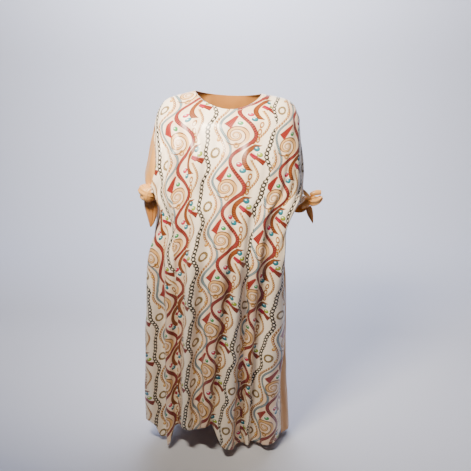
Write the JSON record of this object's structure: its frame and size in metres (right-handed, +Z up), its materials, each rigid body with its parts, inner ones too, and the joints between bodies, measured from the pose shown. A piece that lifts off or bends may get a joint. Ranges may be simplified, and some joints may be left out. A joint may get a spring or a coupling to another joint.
{
  "type": "grand boubou robe",
  "caption": "Floor-length wide robe of a printed front panel and a plain back panel, with a boat neck, open sides and sleeves knotted at the elbow with ties.",
  "frame": {"origin": "the middle of the shoulder line, level with the neck's two ends, where the wearer holds the robe up", "axes": "+Z up, the length of the robe lies along Z; the front looks along -Y; +X is on the right of someone who faces the robe; left and right in names are that viewer's"},
  "size_m": [0.7278, 0.409, 1.4555],
  "materials": {
    "printed_cream_satin": "cream satin with a printed pattern of chains, cords, tassels and stones, softly shiny",
    "tan_satin": "plain tan satin, softly shiny"
  },
  "bodies": {
    "root": {"front_panel": "printed_cream_satin", "back_panel": "tan_satin", "left_tie_knot": "tan_satin", "left_tie_tail": "tan_satin", "right_tie_knot": "tan_satin", "right_tie_tail_side": "tan_satin", "right_tie_tail_down": "tan_satin"}
  },
  "joints": []
}
